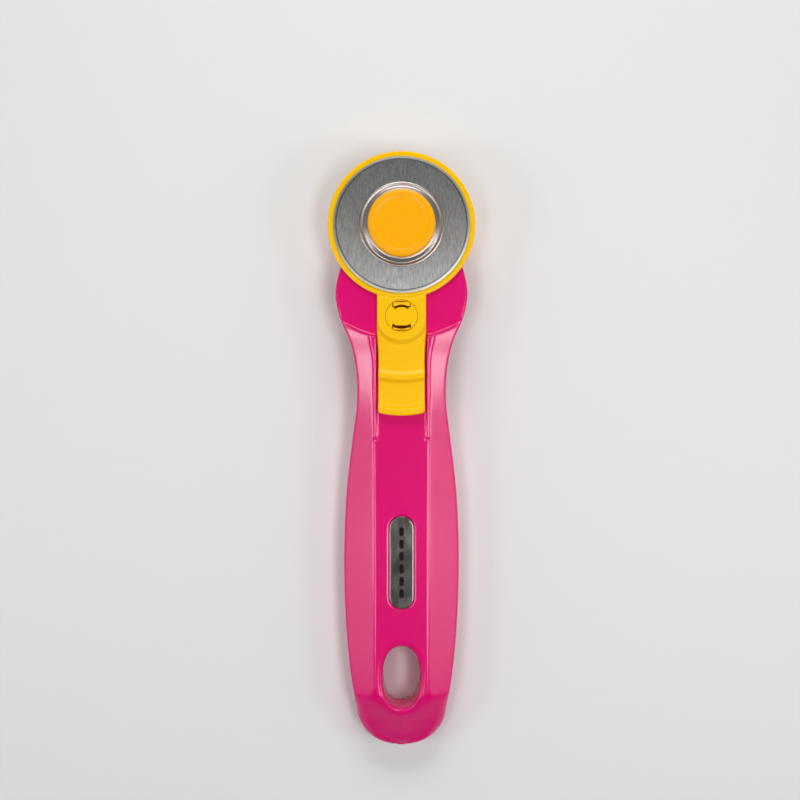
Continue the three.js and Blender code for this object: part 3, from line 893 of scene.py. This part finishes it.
def add_screws():
    grid = Grid((-2.8, -2.8, 0.0), (2.8, 2.8, 1.8), SCREW_STEP)
    head, quads, _ = surface_net(screw_field(grid), grid)
    for i, (x, y, seat, tip, turned) in enumerate(SCREWS):
        cosine, sine = math.cos(math.radians(turned)), math.sin(math.radians(turned))
        spin = np.array([[cosine, -sine, 0], [sine, cosine, 0], [0, 0, 1]])
        vertices = head @ spin.T + (x, y, seat - SCREW_HEAD_HEIGHT - 0.05)
        rod, rod_faces = turn(screw_shank(tip - seat), 24)
        rod = rod + (x, y, seat)
        faces = [list(q) for q in quads] + [[v + len(vertices) for v in f] for f in rod_faces]
        every = np.concatenate([vertices, rod])
        name = f"shell_screw_{i + 1}"
        piece = add_piece(name + "_look", every, faces, SCREW_STEEL, "handle", name, None)
        sharpen(piece.data, 45)


# ---------------------------------------------------------------- guard


def strip_bow(x):
    """How far the strip's ridges and end bow along Y at a place across it."""
    return STRIP_SAG * (1 - np.clip(np.abs(x) / STRIP_SAG_HALF, 0, 1) ** 2)


def strip_height(x, y):
    """The thumb strip's level: a shallow rest, a ridge that drops away, and a rounded end rib."""
    along = y + strip_bow(x)
    level = STRIP_LOW
    for start, length, rise in STRIP_STEPS:
        level = level + rise * after(along, (start, length))
    return level


def strip_outline(x, y):
    half = STRIP_HALF - 0.35 * after(y, (-36.0, 8.0))
    return smooth_max(np.abs(x) - half, STRIP_END - strip_bow(x) - y, 0.9)


def plug_pad(x, y, z, plan):
    """The raised pad round the plug, with sloping sides, kept inside the strip's plan."""
    from_plug = slot_distance(x, y, PAD_R, PLUG_Y, PLUG_Y + 6)
    pad = (from_plug + (z - PAD_TOP) * PAD_SLOPE) / 1.64
    return smooth_max(np.maximum(pad, z - PAD_TOP), plan, 0.5)


def guard_field(grid):
    """The disc and the strip in one piece, with the plug's hole and the slot for the bush."""
    x, y, z = grid.x, grid.y, grid.z
    reach = np.hypot(x, y)
    levels = between(z, GUARD_BACK, GUARD_FRONT)
    disc = box_distance([reach - GUARD_R + 0 * z, levels + 0 * reach], 0.35)
    plan = np.maximum(strip_outline(x, y), y - STRIP_START) + 0 * z
    strip = smooth_max(plan, z - strip_height(x, y), 0.7)
    strip = smooth_min(strip, plug_pad(x, y, z, plan), 0.25)
    shoulder = (23.35 + (z - GUARD_FRONT) * 0.9 - reach) / 1.35
    strip = smooth_max(strip, shoulder, 0.4)
    strip = smooth_max(strip, GUARD_BACK - z + 0 * strip, 0.3)
    body = smooth_min(disc, strip, 0.25)
    body = carve(body, np.hypot(x, y - PLUG_Y) - PLUG_R - 0.07 + 0 * z, 0.25)
    return carve(body, slot_distance(x, y, FLANGE_R + 0.3, 0.0, TRAVEL) + 0 * z, 0.3)


def add_guard():
    grid = Grid((-24.7, -63.2, 17.0), (24.7, 24.7, 20.6), GUARD_STEP)
    add_moulded("blade_guard_look", guard_field(grid), grid, YELLOW, "guard", "blade_guard")


def bowed_slit(x, y, middle, radius, half_length, half_width):
    """A thin slit along an arc that crosses x = 0 at middle."""
    side = math.copysign(1.0, middle)
    centre = middle - side * radius
    ring = np.abs(np.hypot(x, y - centre) - radius) - half_width
    widening = 0.35 * np.clip(np.abs(x) - 2.1, 0, 1) * 0.2
    return np.maximum(np.maximum(ring - widening, np.abs(x) - half_length), -side * (y - centre))


def plug_face(field, grid):
    """The snap tabs' outlines and slits in the plug's face."""
    x, y, z = grid.x, grid.y - PLUG_Y, grid.z
    upper, lower = [bowed_slit(x, y, *slit) for slit in SLITS]
    slits = np.minimum(upper, lower) + 0 * z
    field = carve(field, np.maximum(slits, PLUG_TOP - SLIT_DEPTH - z), 0.12)
    outer = 4.7
    for side, inner in ((1, 3.0), (-1, 3.3)):
        from_middle = np.abs(side * y - (inner + outer) / 2)
        tab = np.maximum(np.abs(x) - 2.9, from_middle - (outer - inner) / 2)
        line = np.maximum(np.abs(tab) - 0.15 + 0 * z, PLUG_TOP - TAB_DEPTH - z)
        field = carve(field, line, 0.1)
    return field


def rear_pad(x, y, z):
    """The finger pad behind the handle, with four grooves across it."""
    outline = slot_distance(x, y, 6.2, PLUG_Y - 2, PLUG_Y + 2)
    levels = between(z, HEAD_BACK - 2.9, HEAD_BACK - 0.1)
    pad = box_distance([outline + 0 * z, levels + 0 * outline], 0.9)
    for place in (-4.5, -1.5, 1.5, 4.5):
        groove = np.hypot(y - PLUG_Y - place, z - HEAD_BACK + 3.5) - 1.0
        pad = carve(pad, groove + 0 * pad, 0.5)
    return pad


def button_field(grid):
    """The plug in the strip, its neck through the handle's slot, and the pad behind."""
    x, y, z = grid.x, grid.y, grid.z
    radius = np.hypot(x, y - PLUG_Y)
    levels = between(z, GUARD_BACK, PLUG_TOP)
    plug = box_distance([radius - PLUG_R + 0 * z, levels + 0 * radius], 0.2)
    plug = plug_face(plug, grid)
    neck = slot_distance(x, y, NECK_HALF, PLUG_Y - NECK_REACH, PLUG_Y + NECK_REACH)
    neck = np.maximum(neck + 0 * z, between(z, HEAD_BACK - 1.0, GUARD_BACK + 0.5))
    return smooth_min(np.minimum(plug, neck), rear_pad(x, y, z), 0.3)


def add_rear_button():
    grid = Grid((-6.4, PLUG_Y - 8.4, HEAD_BACK - 3.0), (6.4, PLUG_Y + 8.4, 20.0), PLUG_STEP)
    add_moulded("guard_rear_button_look", button_field(grid), grid, BUTTON, "guard",
                "guard_rear_button")


# ---------------------------------------------------------------- parts on the axle


def add_blade():
    middle = (BLADE_BACK + BLADE_FRONT) / 2
    inner = BLADE_R - BEVEL
    profile = [
        (BLADE_BORE_R, BLADE_BACK), (inner, BLADE_BACK), (BLADE_R, middle - 0.01), (BLADE_R, middle + 0.01),
        (inner, BLADE_FRONT), (BLADE_BORE_R, BLADE_FRONT), (BLADE_BORE_R, BLADE_BACK),
    ]
    piece = add_turned("rotary_blade_look", refine(profile, 3.0), 256, BLADE_FACE, "blade",
                       "rotary_blade", sharp=3)
    piece.data.materials.append(BLADE_EDGE)
    for face in piece.data.polygons:
        if math.hypot(face.center.x, face.center.y) > inner * MM:
            face.material_index = 1


def add_clamp_washer():
    low = BLADE_FRONT + 0.05
    profile = [
        (RING_BORE_R, low), (13.6, low), (RING_R, low + 0.15), (RING_R, low + 0.45), (13.5, low + 0.62),
        (13.1, low + 0.45), (12.6, low + 0.42), (12.0, low + 0.75), (11.5, low + 1.1),
        (10.9, low + 1.2), (RING_BORE_R, low + 1.2),
    ]
    profile = round_corners(profile, 0.25) + [(RING_BORE_R, low)]
    add_turned("clamp_washer_look", profile, 192, RING_STEEL, "handle", "clamp_washer", sharp=60)


def cap_ornament(r, z, angle):
    """A ring of fine ticks between two fine grooves, pressed into the cap's face."""
    ticks = np.maximum(0, np.cos(24 * angle)) ** 6
    band = np.exp(-(((r - 6.4) / 0.55) ** 2))
    ring = np.exp(-(((r - 4.6) / 0.18) ** 2)) + np.exp(-(((r - 7.9) / 0.14) ** 2))
    face = z > CAP_TOP - 0.45
    return r, np.where(face, z - 0.035 * ticks * band - 0.02 * ring, z)


def add_hub_cap():
    profile = [
        (0, CAP_BACK + 1.05), (9, CAP_BACK + 1.05), (9, CAP_BACK), (CAP_R - 0.2, CAP_BACK),
        (CAP_R, CAP_BACK + 0.3), (CAP_R, CAP_TOP - 1.1), (CAP_R - 0.3, CAP_TOP - 0.3),
        (CAP_R - 1.1, CAP_TOP), (CAP_R - 1.9, CAP_TOP), (CAP_R - 2.6, CAP_TOP - 0.25),
        (6, CAP_TOP - 0.32), (0, CAP_TOP - 0.3),
    ]
    profile = refine(round_corners(profile, 0.5), 0.12)
    add_turned("hub_cap_look", profile, 288, ORANGE, "handle", "hub_cap", sharp=70,
               shape=cap_ornament)


def bolt_thread(r, z, angle):
    """A 1 mm pitch thread on the bolt's lower end, and two flats on its shoulder."""
    turn_share = (z / THREAD_PITCH - angle / (2 * math.pi)) % 1.0
    groove = 0.32 * np.abs(2 * turn_share - 1)
    threaded = (z > BOLT_TIP + 0.3) & (z < HEAD_BACK - 0.3) & (r > THREAD_R - 0.2) & (r < THREAD_R + 0.1)
    r = np.where(threaded, r - groove, r)
    flat = (z > HEAD_BACK - 0.01) & (z < BLADE_BACK - 0.02) & (r > 3.4) & (r < 4.2)
    limit = 3.3 / np.maximum(np.abs(np.cos(angle)), 1e-3)
    return np.where(flat, np.minimum(r, limit), r), z


def add_bolt():
    profile = [
        (0, BOLT_TIP), (THREAD_R - 0.5, BOLT_TIP), (THREAD_R, BOLT_TIP + 0.5), (THREAD_R, HEAD_BACK),
        (SHOULDER_R, HEAD_BACK), (SHOULDER_R, BOLT_HEAD_UNDER), (BOLT_HEAD_R, BOLT_HEAD_UNDER),
        (BOLT_HEAD_R, BOLT_HEAD_TOP), (0, BOLT_HEAD_TOP),
    ]
    add_turned("axle_bolt_look", refine(profile, 0.12), 96, BOLT_STEEL, "handle", "axle_bolt",
               sharp=50, shape=bolt_thread)


def bush_bore(r, z, angle):
    """Two flats in the bush's bore that hold the bolt."""
    bore = r < 4.2
    limit = 3.35 / np.maximum(np.abs(np.cos(angle)), 1e-3)
    return np.where(bore, np.minimum(r, limit), r), z


def add_bush():
    low, top, ledge = HEAD_BACK + 0.1, BLADE_BACK - 0.06, HEAD_FRONT + 0.04
    profile = [
        (4.01, low), (SLEEVE_R - 0.2, low), (SLEEVE_R, low + 0.2), (SLEEVE_R, ledge), (FLANGE_R, ledge),
        (FLANGE_R, top - 0.2), (FLANGE_R - 0.2, top), (4.01, top), (4.01, low),
    ]
    add_turned("axle_bush_look", refine(profile, 0.5), 96, BRASS, "handle", "axle_bush",
               sharp=35, shape=bush_bore)


def washer_wave(r, z, angle):
    return r, z + WASHER_WAVE * np.cos(3 * angle)


def add_spring_washer():
    middle = (NUT_TOP + HEAD_BACK) / 2
    profile = [
        (3.3, middle - 0.1), (3.4, middle - WASHER_HALF), (8.5, middle - WASHER_HALF),
        (8.6, middle - 0.1), (8.6, middle + 0.1), (8.5, middle + WASHER_HALF),
        (3.4, middle + WASHER_HALF), (3.3, middle + 0.1), (3.3, middle - 0.1),
    ]
    add_turned("spring_washer_look", refine(profile, 1.0), 144, SPRING_STEEL, "washer", "spring_washer",
               sharp=60, shape=washer_wave)


def knob_ribs(r, z, angle):
    """Rounded ribs round the rim, fading into the faces, and a fine groove in the outer face."""
    rim = np.clip((r - KNOB_R + 1.3) / 1.1, 0, 1)
    wave = 0.5 - 0.5 * np.cos(KNOB_RIBS * angle)
    r = r - 0.62 * rim * wave**2
    ring = np.exp(-(((r - 7.4) / 0.22) ** 2))
    return r, np.where(z < 0.3, z + 0.12 * ring, z)


def add_knob():
    profile = [
        (0, 0), (KNOB_R - 1.2, 0), (KNOB_R - 0.35, 0.35), (KNOB_R, 1.2), (KNOB_R, NUT_TOP - 0.7),
        (KNOB_R - 0.7, NUT_TOP), (INSERT_R + 0.1, NUT_TOP), (INSERT_R + 0.1, KNOB_FLOOR), (0, KNOB_FLOOR),
    ]
    add_turned("nut_knob_look", refine(round_corners(profile, 0.3), 0.25), 288, YELLOW, "nut",
               "nut_knob", sharp=60, shape=knob_ribs)


def hexagon(r, z, angle):
    """Pulls the outside in to six flats."""
    sector = (angle % (math.pi / 3)) - math.pi / 6
    flat = INSERT_R * math.cos(math.pi / 6) / np.cos(sector)
    return np.where(r > 4.0, np.minimum(r, flat), r), z


def add_insert():
    bore = THREAD_R + 0.08
    profile = [
        (bore, INSERT_LOW), (4.3, INSERT_LOW), (INSERT_R, INSERT_LOW + 0.4), (INSERT_R, INSERT_TOP - 0.4),
        (4.3, INSERT_TOP), (bore, INSERT_TOP), (bore, INSERT_LOW),
    ]
    add_turned("nut_insert_look", refine(profile, 0.6), 96, BRASS, "nut", "nut_insert",
               sharp=25, shape=hexagon)


# ---------------------------------------------------------------- stage


def floor_paint():
    """Pale paint that melts into the pale surroundings far from the cutter, so no horizon shows."""
    look = Look("floor_paint", (0.80, 0.80, 0.79), 0.6, specular=0.2)
    radius, _ = look.polar()
    far = look.ramp(radius, 0.24, 0.8)
    glow = look.node("ShaderNodeEmission", Color=(*PALE, 1.0), Strength=HORIZON)
    blend = look.node("ShaderNodeMixShader", Fac=far)
    look.tree.links.new(look.shader.outputs[0], blend.inputs[1])
    look.tree.links.new(glow.outputs[0], blend.inputs[2])
    look.tree.links.new(blend.outputs[0], look.tree.nodes["Material Output"].inputs["Surface"])
    return look.material


def add_floor():
    mesh = bpy.data.meshes.new("floor")
    size = 6.0
    level = -0.0002
    mesh.from_pydata(
        [(-size, -size, level), (size, -size, level), (size, size, level), (-size, size, level)], [],
        [(0, 1, 2, 3)],
    )
    floor = bpy.data.objects.new("floor", mesh)
    mesh.materials.append(floor_paint())
    bpy.context.scene.collection.objects.link(floor)


def add_light(name, place, size, radiance, colour=(1, 1, 1)):
    """A rectangular light aimed at the handle: size across and along Y, in metres."""
    back = (Vector(place) - Vector((0, -0.075, 0.01))).normalized()
    side = Vector((0, 1, 0)).cross(back).normalized()
    data = bpy.data.lights.new(name, "AREA")
    data.shape = "RECTANGLE"
    data.size, data.size_y = size
    data.energy = radiance * math.pi * size[0] * size[1]
    data.color = colour
    light = bpy.data.objects.new(name, data)
    light.location = place
    light.rotation_euler = Matrix((side, back.cross(side), back)).transposed().to_euler()
    bpy.context.scene.collection.objects.link(light)


def add_lights():
    for side, name in ((-1, "left"), (1, "right")):
        add_light("neck_" + name, (side * 0.405, -0.14, 0.375), (0.08, 0.11), 10.2)
        add_light("side_" + name, (side * 0.475, -0.15, 0.30), (0.17, 0.26), 1.65 + side * 0.1)
    add_light("near_left", (-0.165, -0.14, 0.57), (0.11, 0.24), 6.1)
    add_light("near_right", (0.165, -0.14, 0.57), (0.12, 0.24), 10.9)
    add_light("key", (0.0, 0.46, 0.42), (0.40, 0.26), 6.4)
    add_light("fill", (0.0, -0.62, 0.42), (0.40, 0.20), 0.15)


def add_world():
    """Dark overhead, so that flat faces keep their colour, and pale towards the horizon."""
    world = bpy.data.worlds.new("studio")
    world.use_nodes = True
    tree = world.node_tree
    shader = tree.nodes["Background"]
    split = tree.nodes.new("ShaderNodeSeparateXYZ")
    tree.links.new(tree.nodes.new("ShaderNodeTexCoord").outputs["Generated"], split.inputs[0])
    ramp = tree.nodes.new("ShaderNodeMapRange")
    ramp.interpolation_type = "SMOOTHSTEP"
    ramp.inputs["From Min"].default_value = 0.05
    ramp.inputs["From Max"].default_value = 0.55
    ramp.inputs["To Min"].default_value = HORIZON
    ramp.inputs["To Max"].default_value = 0.04
    tree.links.new(split.outputs["Z"], ramp.inputs["Value"])
    tree.links.new(ramp.outputs[0], shader.inputs["Strength"])
    shader.inputs["Color"].default_value = (*PALE, 1.0)
    bpy.context.scene.world = world


def add_camera():
    """Straight above, two fifths of the way from the blade's end, and 0.42 m above the blade."""
    distance = 0.42
    plane = 0.019
    width = 0.2628
    sensor = 36.0
    data = bpy.data.cameras.new("camera")
    data.sensor_width = sensor
    data.lens = sensor * distance / width
    camera = bpy.data.objects.new("camera", data)
    camera.location = (-0.0005, -0.0577, plane + distance)
    camera.rotation_euler = (0.0, 0.0, 0.0)
    bpy.context.scene.collection.objects.link(camera)
    bpy.context.scene.camera = camera


def set_view():
    scene = bpy.context.scene
    scene.view_settings.view_transform = "Standard"
    scene.view_settings.look = "None"
    scene.view_settings.exposure = 0.0


add_handle()
add_badge()
add_stitches()
add_screws()
add_guard()
add_rear_button()
add_blade()
add_clamp_washer()
add_hub_cap()
add_bolt()
add_bush()
add_spring_washer()
add_knob()
add_insert()
add_floor()
add_lights()
add_world()
add_camera()
set_view()
